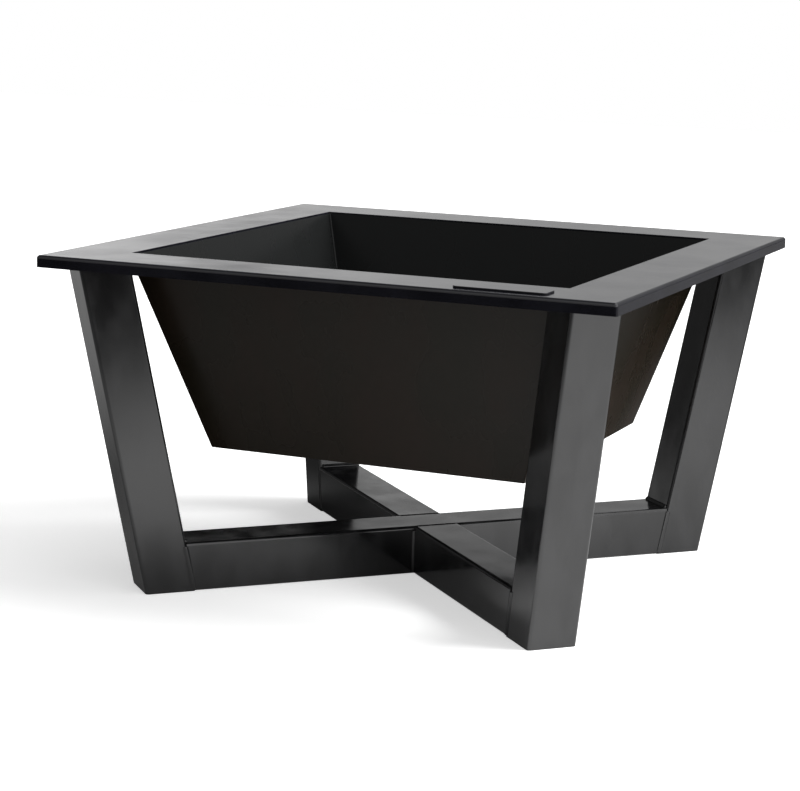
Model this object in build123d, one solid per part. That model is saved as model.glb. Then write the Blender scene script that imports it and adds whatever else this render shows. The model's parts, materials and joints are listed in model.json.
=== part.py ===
from build123d import *
import os
from math import atan, cos, sin, sqrt, tan

# A square steel fire pit. A tapered sheet bowl hangs in a folded rim, which lies loosely on a
# welded stand of square tube, and a loose grate stands in the bowl.
# Millimetres, +Z up. The origin is on the floor under the middle of the bowl. The sides of the rim
# run along X and Y, and the legs and the cross of beams lie on the diagonals.

# Overall size
rim_side = 700.0          # outside of the square rim
total_height = 405.0      # floor to the top of the rim

# Rim: sheet with its outer edge turned down
rim_sheet = 2.5
rim_fold = 14.0           # height of the turned-down edge
rim_bend = 1.5            # inside radius of the fold and of its corners

# Bowl: four tapered walls and a floor
bowl_sheet = 2.5
bowl_base_side = 400.0    # outside, along the bottom edge
bowl_base_height = 168.0  # floor to the underside of the bowl
bowl_weld_radius = 2.0    # of the welds along the outside edges, ground round

# Stand: square tube
tube_side = 60.0
tube_wall = 2.5
tube_bore_corner = 1.5    # inside radius of the tube's corners
foot_diagonal = 742.0     # on the floor, across two opposite legs
end_plate = 3.0           # thickness of the plates that close a leg's ends
foot_plate_gap = 0.2      # room between a foot plate and the tube round it
leg_to_fold = 6.0         # room between a leg's corner and the inside of the rim's fold
leg_to_bowl = 6.2         # room between the top of a leg and the corner of the bowl

# Grate: flat-bar frame with round bars
grate_room = 9.0          # room between the grate and the bowl at the level of the bowl floor
ash_space = 50.0          # bowl floor to the underside of the grate
rail_height = 25.0
rail_thickness = 6.0
bar_diameter = 10.0
bar_gap = 30.0            # wanted gap between bars, which is then evened out
grate_foot_width = 25.0

# Where the legs stand: each one fits in between the rim's fold and the corner of the bowl
rim_underside = total_height - rim_sheet
leg_top = rim_underside - end_plate
leg_top_reach = sqrt(2) * (rim_side / 2 - rim_sheet - leg_to_fold) - tube_side / 2
foot_reach = foot_diagonal / 2
lean = atan((leg_top_reach - foot_reach) / rim_underside)
tube_level_width = tube_side / cos(lean)
tube_corner = tube_bore_corner + tube_wall
tube_bore = tube_side - 2 * tube_wall

# How the bowl tapers: the opening in the rim is the inside of the bowl's upper edge
bowl_top_half = (leg_top_reach - tube_level_width - leg_to_bowl) / sqrt(2)
wall_run = (bowl_top_half - bowl_base_side / 2) / (rim_underside - bowl_base_height)
wall_level_width = bowl_sheet * sqrt(1 + wall_run**2)
opening_half = bowl_top_half - wall_level_width
bowl_floor_top = bowl_base_height + bowl_sheet

# How large the grate is: it stands clear of the walls on the bowl floor
grate_half = bowl_base_side / 2 + wall_run * bowl_sheet - wall_level_width - grate_room
grate_inner = 2 * (grate_half - rail_thickness)
rail_middle = bowl_floor_top + ash_space + rail_height / 2

# In quarter turns about Z, the sides from the front and the corners from the back right
sides = ("front", "right", "back", "left")
corners = ("back_right", "back_left", "front_left", "front_right")


def save(node, shape):
    export_step(shape, f"parts/{node}.step")


def to_side(side):
    """Turn from the front to a side."""
    return Rot(0, 0, 90 * sides.index(side))


def to_corner(corner):
    """Turn from +X to the diagonal of a corner."""
    return Rot(0, 0, 45 + 90 * corners.index(corner))


def front_quarter(ring):
    """The front one of the four sides of a square ring, mitred on the diagonals."""
    wedge = Polyline((0, 0), (-rim_side, -rim_side), (rim_side, -rim_side), close=True)
    return ring & extrude(make_face(wedge), total_height)


def rounded_tray(side, top, radius):
    """Square block, open-ended below, with round corners and a round upper edge."""
    block = Pos(0, 0, top) * Box(side, side, rim_fold, align=(Align.CENTER, Align.CENTER, Align.MAX))
    lower_edges = block.faces().sort_by(Axis.Z)[0].edges()
    return fillet(block.edges() - lower_edges, radius)


def rim_ring():
    sheet = rounded_tray(rim_side, total_height, rim_bend + rim_sheet)
    hollow = rounded_tray(rim_side - 2 * rim_sheet, rim_underside, rim_bend)
    opening = Pos(0, 0, rim_underside) * Box(2 * opening_half, 2 * opening_half, 2 * rim_fold)
    return sheet - hollow - opening


def bowl_half(height):
    """Half of the bowl's outside width at a height above the floor."""
    return bowl_base_side / 2 + wall_run * (height - bowl_base_height)


def taper(low, high, inset):
    """Solid of the bowl's taper between two heights, inset level from its outside."""
    widths = [2 * (bowl_half(height) - inset) for height in (low, high)]
    ends = [Pos(0, 0, height) * Rectangle(width, width) for height, width in zip((low, high), widths)]
    return loft(ends, ruled=True)


def bowl_ring():
    outside = taper(bowl_base_height, rim_underside, 0)
    upper_edges = outside.faces().sort_by(Axis.Z)[-1].edges()
    outside = fillet(outside.edges() - upper_edges, bowl_weld_radius)
    inside = taper(bowl_base_height - bowl_sheet, rim_underside + bowl_sheet, wall_level_width)
    return outside - inside


def bowl_floor():
    return taper(bowl_base_height, bowl_floor_top, wall_level_width)


def tube_section():
    outside = RectangleRounded(tube_side, tube_side, tube_corner)
    return outside - RectangleRounded(tube_bore, tube_bore, tube_bore_corner)


def on_leg(section, low, high):
    """Section run along the axis of a leg that leans towards +X, cut level at two heights."""
    axis = Plane(
        origin=(foot_reach - tube_level_width / 2, 0, 0),
        x_dir=(cos(lean), 0, -sin(lean)),
        z_dir=(sin(lean), 0, cos(lean)),
    )
    bar = extrude(axis * section, 2 * total_height, both=True)
    slab = Box(2 * rim_side, 2 * rim_side, high - low, align=(Align.CENTER, Align.CENTER, Align.MIN))
    return bar & Pos(0, 0, low) * slab


def long_beam():
    """Tube along X on the floor, with both ends cut to the inner faces of two legs."""
    section = Pos(0, 0, tube_side / 2) * (Plane.YZ * tube_section())
    tube = extrude(section, rim_side, both=True)
    low_end = foot_reach - tube_level_width
    high_end = low_end + tube_side * tan(lean)
    ends = (-low_end, 0), (low_end, 0), (high_end, tube_side), (-high_end, tube_side)
    return tube & extrude(Plane.XZ * make_face(Polyline(*ends, close=True)), tube_side, both=True)


def half_beam():
    """The same tube from the side of the long beam to a leg that stands towards +X."""
    return split(long_beam(), Plane.YZ.offset(tube_side / 2), Keep.TOP)


def grate_rail(length):
    """Flat bar on edge along X, as the front one of the grate's frame."""
    place = Pos(0, rail_thickness / 2 - grate_half, rail_middle)
    return place * Box(length, rail_thickness, rail_height)


def grate_bars():
    """Round bars along Y, evenly spaced between the left and right rails."""
    count = round((grate_inner - bar_gap) / (bar_gap + bar_diameter))
    pitch = (grate_inner + bar_diameter) / (count + 1)
    bar = Rot(90, 0, 0) * Cylinder(bar_diameter / 2, grate_inner)
    first = -pitch * (count - 1) / 2
    return [Pos(first + pitch * index, 0, rail_middle) * bar for index in range(count)]


def grate_foot():
    """Flat bar in the front right inner corner of the frame, down to the bowl floor."""
    foot_height = rail_middle - bowl_floor_top
    foot = Box(rail_thickness, grate_foot_width, foot_height, align=(Align.MAX, Align.MIN, Align.MIN))
    return Pos(grate_inner / 2, -grate_inner / 2, bowl_floor_top) * foot


os.makedirs("parts", exist_ok=True)

# Stand
leg = on_leg(tube_section(), 0, leg_top)
top_plate = on_leg(RectangleRounded(tube_side, tube_side, tube_corner), leg_top, rim_underside)
foot_plate_side = tube_bore - 2 * foot_plate_gap
foot_plate = on_leg(RectangleRounded(foot_plate_side, foot_plate_side, tube_bore_corner), 0, end_plate)
for corner in corners:
    save(f"leg_{corner}", to_corner(corner) * leg)
    save(f"leg_top_plate_{corner}", to_corner(corner) * top_plate)
    save(f"foot_plate_{corner}", to_corner(corner) * foot_plate)
save("cross_beam_long", to_corner("back_right") * long_beam())
for corner in ("front_right", "back_left"):
    save(f"cross_beam_{corner}", to_corner(corner) * half_beam())

# Bowl
rim_section = front_quarter(rim_ring())
bowl_wall = front_quarter(bowl_ring())
for side in sides:
    save(f"rim_{side}", to_side(side) * rim_section)
    save(f"bowl_wall_{side}", to_side(side) * bowl_wall)
save("bowl_floor", bowl_floor())

# Grate
for side in sides:
    length = 2 * grate_half if side in ("front", "back") else grate_inner
    save(f"grate_rail_{side}", to_side(side) * grate_rail(length))
for number, bar in enumerate(grate_bars(), start=1):
    save(f"grate_bar_{number}", bar)
for corner, mirrors in {
    "front_right": (),
    "front_left": (Plane.YZ,),
    "back_right": (Plane.XZ,),
    "back_left": (Plane.YZ, Plane.XZ),
}.items():
    foot = grate_foot()
    for plane in mirrors:
        foot = mirror(foot, plane)
    save(f"grate_foot_{corner}", foot)
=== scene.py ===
import json
import math

import bmesh
import bpy
from mathutils import Matrix, Vector


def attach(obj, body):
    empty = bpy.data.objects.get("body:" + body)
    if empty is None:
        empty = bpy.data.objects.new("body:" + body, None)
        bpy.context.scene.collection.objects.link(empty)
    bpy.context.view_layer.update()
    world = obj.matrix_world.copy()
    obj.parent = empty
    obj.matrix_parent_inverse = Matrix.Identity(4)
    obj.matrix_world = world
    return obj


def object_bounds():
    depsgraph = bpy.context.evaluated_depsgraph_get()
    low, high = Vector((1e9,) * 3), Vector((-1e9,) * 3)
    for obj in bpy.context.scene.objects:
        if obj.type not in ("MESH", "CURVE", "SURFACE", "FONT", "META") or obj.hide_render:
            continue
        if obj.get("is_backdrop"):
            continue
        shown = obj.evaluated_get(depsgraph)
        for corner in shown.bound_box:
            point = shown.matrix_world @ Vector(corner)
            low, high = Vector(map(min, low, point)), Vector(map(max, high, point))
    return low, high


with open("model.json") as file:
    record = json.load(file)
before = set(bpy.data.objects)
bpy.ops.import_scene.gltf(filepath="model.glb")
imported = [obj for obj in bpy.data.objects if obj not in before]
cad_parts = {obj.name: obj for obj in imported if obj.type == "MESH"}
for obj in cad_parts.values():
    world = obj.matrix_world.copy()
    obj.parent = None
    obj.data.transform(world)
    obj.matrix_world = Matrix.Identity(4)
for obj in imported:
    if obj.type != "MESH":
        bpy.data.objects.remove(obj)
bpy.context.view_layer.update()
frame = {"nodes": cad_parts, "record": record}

# Stand
# Four leaning legs on a cross of floor beams, all 60 mm square steel tube with rounded corners. The
# tubes are saw-cut to fit, welded into one frame and sprayed with satin black heat-resistant paint.

MM = 0.001
bodies = frame["record"]["behaviour"]["bodies"]


def srgb(code):
    """Linear colour of an sRGB hex code."""
    values = [int(code[place : place + 2], 16) / 255 for place in (1, 3, 5)]
    return (*[v / 12.92 if v <= 0.04045 else ((v + 0.055) / 1.055) ** 2.4 for v in values], 1)


def add_node(tree, kind, inputs=(), **settings):
    """Adds a node. Each named or numbered input gets a value, or the output that feeds it."""
    node = tree.nodes.new(kind)
    for name, value in settings.items():
        setattr(node, name, value)
    for name, value in dict(inputs).items():
        if isinstance(value, bpy.types.NodeSocket):
            tree.links.new(value, node.inputs[name])
        else:
            node.inputs[name].default_value = value
    return node


def stove_paint(name, colours, roughness, specular, cloud_mm, peel_mm, dish_mm):
    """Sprayed heat-resistant paint. Its black is close and even, with soft clouds of colour and sheen
    where the coat went on thicker, and an orange-peel skin that breaks up its reflections, drawn coarser
    than a real one so that it shows. The steel below dishes a little over some 60 mm, as rolled tube and
    sheet do, so that reflections swim."""
    thin, thick = 0.3, 0.7  # values of the clouds, where the coat is thinnest and thickest
    dish_span_mm, peel_depth_mm = 60, 0.03
    material = bpy.data.materials.new(name)
    material.use_nodes = True
    tree = material.node_tree
    shader = tree.nodes["Principled BSDF"]
    shader.inputs["IOR"].default_value = 1.65
    shader.inputs["Specular IOR Level"].default_value = specular
    place = add_node(tree, "ShaderNodeTexCoord").outputs["Object"]
    drawn_down = add_node(tree, "ShaderNodeMapping", {"Vector": place, "Scale": (1, 1, 0.4)})
    clouds = add_node(
        tree,
        "ShaderNodeTexNoise",
        {
            "Vector": drawn_down.outputs["Vector"],
            "Scale": 1 / (cloud_mm * MM),
            "Detail": 3.0,
            "Roughness": 0.55,
        },
    ).outputs["Fac"]
    colour = add_node(tree, "ShaderNodeValToRGB", {"Fac": clouds})
    colour.color_ramp.interpolation = "EASE"
    for stop, position, code in zip(colour.color_ramp.elements, (thin, thick), colours):
        stop.position = position
        stop.color = srgb(code)
    sheen = add_node(
        tree,
        "ShaderNodeMapRange",
        {
            "Value": clouds,
            "From Min": thin,
            "From Max": thick,
            "To Min": roughness[0],
            "To Max": roughness[1],
        },
        interpolation_type="SMOOTHSTEP",
    )
    dishing = add_node(
        tree, "ShaderNodeTexNoise", {"Vector": place, "Scale": 1 / (dish_span_mm * MM), "Detail": 0.0}
    )
    dished = add_node(
        tree,
        "ShaderNodeBump",
        {"Height": dishing.outputs["Fac"], "Strength": 1.0, "Distance": dish_mm * MM},
    )
    peel = add_node(
        tree,
        "ShaderNodeTexNoise",
        {"Vector": place, "Scale": 1 / (peel_mm * MM), "Detail": 2.0, "Roughness": 0.6},
    )
    skin = add_node(
        tree,
        "ShaderNodeBump",
        {
            "Height": peel.outputs["Fac"],
            "Strength": 0.2,
            "Distance": peel_depth_mm * MM,
            "Normal": dished.outputs["Normal"],
        },
    )
    tree.links.new(colour.outputs["Color"], shader.inputs["Base Color"])
    tree.links.new(sheen.outputs["Result"], shader.inputs["Roughness"])
    tree.links.new(skin.outputs["Normal"], shader.inputs["Normal"])
    return material


def finish_nodes(names, material):
    """Gives CAD nodes a finish."""
    for name in names:
        mesh = frame["nodes"][name].data
        mesh.materials.clear()
        mesh.materials.append(material)


stand_paint = stove_paint(
    "satin_black_stove_paint",
    colours=("#0d0d0e", "#222223"),
    roughness=(0.11, 0.18),
    specular=0.68,
    cloud_mm=30,
    peel_mm=2.2,
    dish_mm=0.25,
)
finish_nodes(bodies["stand"], stand_paint)

# Welds of the stand
# Beads where each beam meets its leg, down both sides and over the top, and where the two short beams
# meet the long one. They are sprayed over with the stand.

tube_corner = 4.0  # mm, outside radius of the tube's corners
groove = tube_corner / 2  # depth of a bead in the groove that a round corner leaves
side_bead, side_depth = 4.6, 2.7  # a wide, flat bead: its radius, and how deep its middle lies
seam_bead, fillet_bead = 3.0, 3.6  # radii
floor_room = 1.5  # from the floor to the lower end of an upright bead
ripple = 2 * MM
trough, tip = 0.85, 0.6  # how far a bead is drawn in between its ripples, and at its ends

beam = frame["nodes"]["cross_beam_long"].data.vertices
along_beam = Vector((1, 1, 0)).normalized()
beam_top = max(vert.co.z for vert in beam) / MM
beam_half = beam_top / 2
face_top = max(vert.co.dot(along_beam) for vert in beam) / MM
on_floor = [vert for vert in beam if vert.co.z < 0.1 * MM]
face_foot = max(vert.co.dot(along_beam) for vert in on_floor) / MM


def leg_face(height):
    """Distance in mm from the middle of the stand to the inner face of a leg."""
    return face_foot + (face_top - face_foot) * height / beam_top


def add_bead(shape, bead):
    """Adds a finished bead, smooth all over, to the welds of a piece."""
    for face in bead.faces:
        face.smooth = True
    mesh = bpy.data.meshes.new("bead")
    bead.to_mesh(mesh)
    bead.free()
    shape.from_mesh(mesh)
    bpy.data.meshes.remove(mesh)


def weld_run(shape, start, end, radius, turn=0):
    """Adds a straight bead of weld between two points in mm, turned about the middle of the object by
    degrees. It is rippled, and drawn in at both ends."""
    start, end = Vector(start) * MM, Vector(end) * MM
    length = (end - start).length
    steps = 2 * round(length / ripple)
    bead = bmesh.new()
    bmesh.ops.create_cone(
        bead, cap_ends=True, segments=10, radius1=radius * MM, radius2=radius * MM, depth=length
    )
    lengthwise = [edge for edge in bead.edges if edge.verts[0].co.z * edge.verts[1].co.z < 0]
    bmesh.ops.subdivide_edges(bead, edges=lengthwise, cuts=steps - 1)
    troughs = [vert for vert in bead.verts if round((vert.co.z / length + 0.5) * steps) % 2 == 0]
    bmesh.ops.scale(bead, vec=(trough, trough, 1), verts=troughs)
    ends = [vert for vert in bead.verts if abs(vert.co.z) > length / 2 - ripple / 4]
    bmesh.ops.scale(bead, vec=(tip, tip, 1), verts=ends)
    lie = (end - start).to_track_quat("Z", "Y").to_matrix().to_4x4()
    place = Matrix.Translation((start + end) / 2)
    bead.transform(Matrix.Rotation(math.radians(turn), 4, "Z") @ place @ lie)
    add_bead(shape, bead)


def new_piece(name, shape, material, body):
    """Makes an object of a bmesh, which rides on a body."""
    mesh = bpy.data.meshes.new(name)
    shape.to_mesh(mesh)
    shape.free()
    mesh.materials.append(material)
    piece = bpy.data.objects.new(name, mesh)
    bpy.context.scene.collection.objects.link(piece)
    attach(piece, body)


shape = bmesh.new()
low, high = floor_room, beam_top - tube_corner
flat = beam_half - tube_corner
for turn in (45, 135, 225, 315):
    for across in (side_depth - beam_half, beam_half - side_depth):
        foot, head = (leg_face(low) + groove, across, low), (leg_face(high) + groove, across, high)
        weld_run(shape, foot, head, side_bead, turn)
    weld_run(shape, (face_top, -flat, beam_top), (face_top, flat, beam_top), fillet_bead, turn)
for turn in (135, 315):
    for across in (-beam_half, beam_half):
        weld_run(shape, (beam_half, across, low), (beam_half, across, high), fillet_bead, turn)
    seam, level = beam_half - groove, beam_top - groove
    weld_run(shape, (seam, -flat, level), (seam, flat, level), seam_bead, turn)
new_piece("stand_welds", shape, stand_paint, "stand")

# Rim
# Four strips of sheet steel with the outer edge folded down, mitred, welded and ground flush at the
# corners, and sprayed like the stand.

rim_paint = stove_paint(
    "satin_black_rim_paint",
    colours=("#101016", "#18181f"),
    roughness=(0.12, 0.17),
    specular=0.68,
    cloud_mm=70,
    peel_mm=2.2,
    dish_mm=0.3,
)
finish_nodes([name for name in bodies["bowl"] if name.startswith("rim_")], rim_paint)

# Bare plate on the rim
# A small steel plate with round corners, fixed flat on the front strip by the right corner of the
# opening and sprayed over with the rim. Its face is left plain.

plate_size = Vector((108.0, 30.0, 2.0))  # mm
plate_middle = (212.0, -318.0)
plate_corner, plate_edge = 6.0, 0.4  # radii


def node_box(name):
    """Low and high corners of a CAD node, in mm."""
    places = [vert.co / MM for vert in frame["nodes"][name].data.vertices]
    return [Vector(pick(values) for values in zip(*places)) for pick in (min, max)]


def round_edges(shape, edges, radius, segments):
    """Rounds edges to a radius in mm."""
    bmesh.ops.bevel(
        shape,
        geom=edges,
        offset=radius * MM,
        affect="EDGES",
        segments=segments,
        profile=0.5,
        material=-1,
    )


rim_high = node_box("rim_front")[1]
middle = Vector((*plate_middle, rim_high.z + plate_size.z / 2))
shape = bmesh.new()
bmesh.ops.create_cube(shape, size=MM)
bmesh.ops.scale(shape, vec=plate_size, verts=shape.verts[:])
bmesh.ops.translate(shape, vec=middle * MM, verts=shape.verts[:])
uprights = [edge for edge in shape.edges if abs(edge.verts[0].co.z - edge.verts[1].co.z) > MM]
round_edges(shape, uprights, plate_corner, segments=6)
top_edges = [edge for edge in shape.edges if min(vert.co.z for vert in edge.verts) > middle.z * MM]
round_edges(shape, top_edges, plate_edge, segments=2)
shape.normal_update()
for face in shape.faces:
    face.smooth = abs(face.normal.z) < 0.99  # all but the flat upper and lower faces
new_piece("bare_plate", shape, rim_paint, "bowl")

# Bowl
# Four tapered walls and a floor of sheet steel, welded along the corners and ground round outside. The
# stove paint is duller than the stand's. The walls' outer faces are brown-black, their inner faces
# neutral.

bowl_paint = stove_paint(
    "brown_black_stove_paint",
    colours=("#1d1a13", "#251d17"),
    roughness=(0.24, 0.32),
    specular=0.12,
    cloud_mm=90,
    peel_mm=3,
    dish_mm=0.3,
)
inside_colour = "#1b1c1c"
tree = bowl_paint.node_tree
spot = add_node(tree, "ShaderNodeTexCoord")
from_axis = add_node(
    tree, "ShaderNodeVectorMath", {0: spot.outputs["Object"], 1: (1, 1, 0)}, operation="MULTIPLY"
).outputs["Vector"]
outwards = add_node(
    tree, "ShaderNodeVectorMath", {0: spot.outputs["Normal"], 1: from_axis}, operation="DOT_PRODUCT"
).outputs["Value"]
outside = add_node(tree, "ShaderNodeMath", {0: outwards, 1: 0.0}, operation="GREATER_THAN").outputs[0]
shader = tree.nodes["Principled BSDF"]
brown = shader.inputs["Base Color"].links[0].from_socket
# Outward faces of the walls get the brown-black, inner faces and the floor a neutral black.
wall_face_colour = add_node(
    tree, "ShaderNodeMix", {0: outside, 6: srgb(inside_colour), 7: brown}, data_type="RGBA"
)
tree.links.new(wall_face_colour.outputs[2], shader.inputs["Base Color"])
finish_nodes([name for name in bodies["bowl"] if name.startswith("bowl_")], bowl_paint)

# Welds of the bowl
# Beads down the four inside corners and round the floor, and stitches outside that hold the walls to the
# rim. They are brushed clean and sprayed over with the bowl.

wall_bead, stitch_bead = 2.5, 2.6  # radii in mm
stitch_places, stitch_half = (-190.0, 0.0, 190.0), 20.0
floor_half, floor_top = node_box("bowl_floor")[1].yz
wall_low, wall_high = node_box("bowl_wall_front")
wall_outside, rim_underside = -wall_low.y, wall_high.z
opening_half = -rim_high.y

shape = bmesh.new()
for turn in (0, 90, 180, 270):
    corner_low = (floor_half, floor_half, floor_top)
    corner_high = (opening_half, opening_half, rim_underside)
    weld_run(shape, corner_low, corner_high, wall_bead, turn)
    weld_run(shape, (-floor_half, floor_half, floor_top), corner_low, wall_bead, turn)
    for middle in stitch_places:
        left, right = middle - stitch_half, middle + stitch_half
        start, end = (left, wall_outside, rim_underside), (right, wall_outside, rim_underside)
        weld_run(shape, start, end, stitch_bead, turn)
new_piece("bowl_welds", shape, bowl_paint, "bowl")

# Grate
# A frame of flat bar with round bars between its sides and flat feet in its corners, welded up and left
# as rolled. Hot-rolled steel keeps a blue-black mill scale with a dull metal sheen, browner in patches
# where it has come off, and faintly pitted. The pits are drawn coarser than real, so that they show.

patch_mm, pit_mm, pit_depth_mm = 18, 1.5, 0.1
grate_steel = bpy.data.materials.new("mill_scale_steel")
grate_steel.use_nodes = True
tree = grate_steel.node_tree
shader = tree.nodes["Principled BSDF"]
shader.inputs["Metallic"].default_value = 1.0
place = add_node(tree, "ShaderNodeTexCoord").outputs["Object"]
scale_patches = add_node(
    tree,
    "ShaderNodeTexNoise",
    {"Vector": place, "Scale": 1 / (patch_mm * MM), "Detail": 4.0, "Roughness": 0.6},
).outputs["Fac"]
steel_colour = add_node(tree, "ShaderNodeValToRGB", {"Fac": scale_patches})
ramp = steel_colour.color_ramp
ramp.elements[0].position, ramp.elements[0].color = 0.38, srgb("#34363b")
ramp.elements[1].position, ramp.elements[1].color = 0.68, srgb("#4a4039")
steel_sheen = add_node(
    tree,
    "ShaderNodeMapRange",
    {"Value": scale_patches, "From Min": 0.35, "From Max": 0.7, "To Min": 0.38, "To Max": 0.6},
)
pits = add_node(
    tree, "ShaderNodeTexNoise", {"Vector": place, "Scale": 1 / (pit_mm * MM), "Detail": 2.0}
)
pitted = add_node(
    tree,
    "ShaderNodeBump",
    {"Height": pits.outputs["Fac"], "Strength": 0.25, "Distance": pit_depth_mm * MM},
)
tree.links.new(steel_colour.outputs["Color"], shader.inputs["Base Color"])
tree.links.new(steel_sheen.outputs["Result"], shader.inputs["Roughness"])
tree.links.new(pitted.outputs["Normal"], shader.inputs["Normal"])
finish_nodes(bodies["grate"], grate_steel)

# Welds of the grate
# A ring of weld round each end of each bar, a bead down each corner of the frame, and one along the top
# of each foot. They are left as bare as the bars.

ring_bead, rail_bead, foot_bead = 1.9, 1.5, 2.0  # radii in mm
bead_room = 2.5  # from the end of a bead to the edge of its piece


def weld_ring(shape, middle, radius, bead):
    """Adds a ring of weld in mm round the end of a bar that runs along Y."""
    middle = Vector(middle) * MM
    ring = bmesh.new()
    start = Matrix.Translation(middle + Vector((radius * MM, 0, 0)))
    bmesh.ops.create_circle(ring, segments=6, radius=bead * MM, matrix=start)
    bmesh.ops.spin(
        ring, geom=ring.edges[:], cent=middle, axis=(0, 1, 0), angle=2 * math.pi, steps=12, use_merge=True
    )
    bmesh.ops.recalc_face_normals(ring, faces=ring.faces[:])
    add_bead(shape, ring)


shape = bmesh.new()
for name in bodies["grate"]:
    low, high = node_box(name)
    outer_side = max(low.x, high.x, key=abs)
    if name.startswith("grate_bar_"):
        middle = (low + high) / 2
        for end in (low.y, high.y):
            weld_ring(shape, (middle.x, end, middle.z), high.x - middle.x, ring_bead)
    elif name.startswith("grate_foot_"):
        start = (outer_side, low.y + bead_room, high.z)
        weld_run(shape, start, (outer_side, high.y - bead_room, high.z), foot_bead)
    elif name in ("grate_rail_left", "grate_rail_right"):
        for end in (low.y, high.y):
            start = (outer_side, end, low.z + bead_room)
            weld_run(shape, start, (outer_side, end, high.z - bead_room), rail_bead)
new_piece("grate_welds", shape, grate_steel, "grate")

# Studio
# A white floor sheet under a large soft light from the right, in a room that is dark behind the camera.
# The camera sees white all round. Reflections see a painted pool of light on the sheet, a painted shade
# behind on the left and a low backdrop, but not the light itself, which would blaze in the rim.

sheet_half = 8.0  # m
sheet_glow = 0.52  # lifts the sheet to white for the camera, and leaves the shadow on it
shape = bmesh.new()
bmesh.ops.create_grid(shape, x_segments=1, y_segments=1, size=sheet_half)
floor_mesh = bpy.data.meshes.new("floor")
shape.to_mesh(floor_mesh)
shape.free()
floor = bpy.data.objects.new("floor", floor_mesh)
bpy.context.scene.collection.objects.link(floor)
floor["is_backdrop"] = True

floor_paper = bpy.data.materials.new("studio_sheet_with_painted_pool")
floor_paper.use_nodes = True
tree = floor_paper.node_tree
shader = tree.nodes["Principled BSDF"]
shader.inputs["Roughness"].default_value = 0.9
shader.inputs["Specular IOR Level"].default_value = 0.0
shader.inputs["Emission Color"].default_value = (1, 1, 1, 1)
place = add_node(tree, "ShaderNodeTexCoord").outputs["Object"]
# For rays other than the camera's, the sheet's colour is painted light: a pool of light at the right
# front that fades towards the front, and painted shade behind the object on the left.
stretched = add_node(
    tree, "ShaderNodeMapping", {"Vector": place, "Location": (-0.44, 0.35, 0), "Scale": (0.5, 1, 1)}
).outputs["Vector"]
reach = add_node(tree, "ShaderNodeVectorMath", {0: stretched}, operation="LENGTH").outputs["Value"]
pool = add_node(
    tree,
    "ShaderNodeMapRange",
    {"Value": reach, "From Min": 0.4, "From Max": 1.0, "To Min": 0.95, "To Max": 0.16},
).outputs["Result"]
spot = add_node(tree, "ShaderNodeSeparateXYZ", {0: place})  # metres from the middle of the object
fade = add_node(
    tree,
    "ShaderNodeMapRange",
    {"Value": spot.outputs["Y"], "From Min": -1.9, "From Max": -0.7, "To Min": 0.1},
).outputs["Result"]
lit = add_node(tree, "ShaderNodeMath", {0: pool, 1: fade}, operation="MULTIPLY").outputs[0]
slantwise = add_node(tree, "ShaderNodeMath", {0: spot.outputs["X"], 1: spot.outputs["Y"]}).outputs[0]
shaded = add_node(
    tree,
    "ShaderNodeMapRange",
    {"Value": slantwise, "From Min": -0.4, "From Max": -0.95, "To Min": 0.05, "To Max": 0.33},
).outputs["Result"]
leftwards = add_node(
    tree, "ShaderNodeMapRange", {"Value": spot.outputs["X"], "From Min": -0.2, "From Max": -0.5}
).outputs["Result"]
backwards = add_node(
    tree, "ShaderNodeMapRange", {"Value": spot.outputs["Y"], "From Min": -0.2, "From Max": 0.1}
).outputs["Result"]
behind = add_node(tree, "ShaderNodeMath", {0: leftwards, 1: backwards}, operation="MULTIPLY").outputs[0]
# The sheet's colour for rays other than the camera's: the painted pool of light, with painted shade
# behind on the left.
painted_pool_and_shade = add_node(tree, "ShaderNodeMix", {0: behind, 2: lit, 3: shaded}).outputs[0]
seen = add_node(tree, "ShaderNodeLightPath").outputs["Is Camera Ray"]
shade = add_node(tree, "ShaderNodeMix", {0: seen, 2: painted_pool_and_shade, 3: 1.0})
glow = add_node(tree, "ShaderNodeMath", {0: seen, 1: sheet_glow}, operation="MULTIPLY")
tree.links.new(shade.outputs[0], shader.inputs["Base Color"])
tree.links.new(glow.outputs[0], shader.inputs["Emission Strength"])
floor_mesh.materials.append(floor_paper)

world = bpy.data.worlds.new("studio")
bpy.context.scene.world = world
world.use_nodes = True
tree = world.node_tree
direction = add_node(tree, "ShaderNodeTexCoord").outputs["Generated"]
toward = add_node(tree, "ShaderNodeSeparateXYZ", {0: direction})
azimuth = add_node(
    tree, "ShaderNodeMath", {0: toward.outputs["Y"], 1: toward.outputs["X"]}, operation="ARCTAN2"
).outputs[0]


def round_the_room(stops):
    """Brightness by the direction round the room, from degrees and values."""
    compass = add_node(
        tree, "ShaderNodeMapRange", {"Value": azimuth, "From Min": -math.pi, "From Max": math.pi}
    )
    brightness = add_node(tree, "ShaderNodeValToRGB", {"Fac": compass.outputs[0]})
    ramp = brightness.color_ramp
    ramp.elements.remove(ramp.elements[1])
    for number, (degrees, value) in enumerate(stops):
        position = (degrees + 180) / 360
        stop = ramp.elements.new(position) if number else ramp.elements[0]
        stop.position = position
        stop.color = (value, value, value, 1)
    return brightness.outputs[0]


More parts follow.
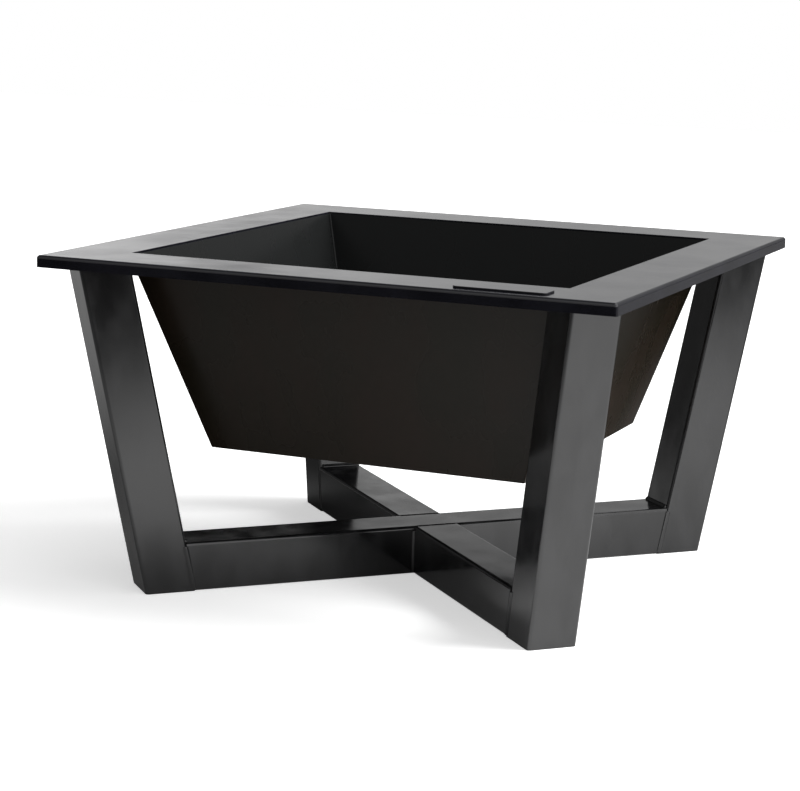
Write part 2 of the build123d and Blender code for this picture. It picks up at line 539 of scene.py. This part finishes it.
low_light = round_the_room(
    (
        (-180, 0.08),
        (-150, 0.08),
        (-115, 0.25),
        (-75, 0.35),
        (-45, 0.8),
        (-20, 1.15),
        (10, 1.3),
        (30, 1.2),
        (48, 0.22),
        (100, 0.22),
        (116, 0),
        (135, 0),
        (150, 0.08),
        (180, 0.08),
    )
)
high_light = round_the_room(
    (
        (-180, 0.1),
        (-150, 0.15),
        (-115, 0.45),
        (-85, 0.35),
        (-45, 0.6),
        (-20, 1.0),
        (10, 1.2),
        (60, 1.1),
        (80, 0.95),
        (95, 0.8),
        (105, 0.6),
        (115, 0.3),
        (125, 0.1),
        (180, 0.1),
    )
)
climb = add_node(
    tree, "ShaderNodeMapRange", {"Value": toward.outputs["Z"], "From Min": 0.31, "From Max": 0.57}
)
soft_light = add_node(
    tree, "ShaderNodeMix", {0: climb.outputs[0], 2: low_light, 3: high_light}
).outputs[0]

# The backdrop's brightness, and the height of its upper edge, both by the direction round the room
backdrop_white = round_the_room(
    (
        (88, 0),
        (98, 0.35),
        (108, 0.39),
        (113, 0.58),
        (117, 0.85),
        (119, 0.9),
        (120.5, 1),
        (128, 1),
        (132, 0),
    )
)
top_edge = round_the_room(((114, 0.235), (116.5, 0.135), (119, 0.142), (120.5, 0.21)))
over_edge = add_node(
    tree, "ShaderNodeMath", {0: toward.outputs["Z"], 1: top_edge}, operation="SUBTRACT"
).outputs[0]
under_edge = add_node(
    tree, "ShaderNodeMapRange", {"Value": over_edge, "From Min": 0.03, "From Max": 0.0}
).outputs[0]
backdrop = add_node(
    tree, "ShaderNodeMath", {0: backdrop_white, 1: under_edge}, operation="MULTIPLY"
).outputs[0]
ray = add_node(tree, "ShaderNodeLightPath")
mirrored = add_node(
    tree, "ShaderNodeMath", {0: ray.outputs["Is Glossy Ray"], 1: ray.outputs["Is Transmission Ray"]}
).outputs[0]
shown = add_node(tree, "ShaderNodeMath", {0: backdrop, 1: mirrored}, operation="MULTIPLY").outputs[0]
above = add_node(
    tree, "ShaderNodeMapRange", {"Value": toward.outputs["Z"], "From Min": -0.02, "From Max": 0.0}
).outputs["Result"]
both = add_node(tree, "ShaderNodeMath", {0: soft_light, 1: shown}, operation="ADD")
light = add_node(tree, "ShaderNodeMath", {0: both.outputs[0], 1: above}, operation="MULTIPLY")
strength = add_node(
    tree, "ShaderNodeMix", {0: ray.outputs["Is Camera Ray"], 2: light.outputs[0], 3: 1.0}
)
tree.links.new(strength.outputs[0], tree.nodes["Background"].inputs["Strength"])
tree.nodes["Background"].inputs["Color"].default_value = (1, 1, 1, 1)

key_azimuth, key_elevation = math.radians(20), math.radians(32)
key_data = bpy.data.lights.new("key", "SUN")
key_data.energy = 4.0
key_data.angle = math.radians(40)
key = bpy.data.objects.new("key", key_data)
key.rotation_euler = (math.pi / 2 - key_elevation, 0, math.pi / 2 + key_azimuth)
key.visible_glossy = False
bpy.context.scene.collection.objects.link(key)

# Camera
# A long lens from the front right, a little above the rim. Its place, turn and slight roll are fitted to
# the straight edges of the object.

camera_place = (1.07426, -2.59206, 0.7448)  # m
yaw, tilt, roll = math.radians(23.292), math.radians(90 - 10.656), math.radians(1.371)
camera_data = bpy.data.cameras.new("camera")
camera_data.sensor_width = 36
camera_data.lens = 103.66
camera = bpy.data.objects.new("camera", camera_data)
bpy.context.scene.collection.objects.link(camera)
camera.matrix_world = (
    Matrix.Translation(camera_place)
    @ Matrix.Rotation(yaw, 4, "Z")
    @ Matrix.Rotation(tilt, 4, "X")
    @ Matrix.Rotation(roll, 4, "Z")
)
bpy.context.scene.camera = camera
bpy.context.scene.view_settings.view_transform = "Standard"

low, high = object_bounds()
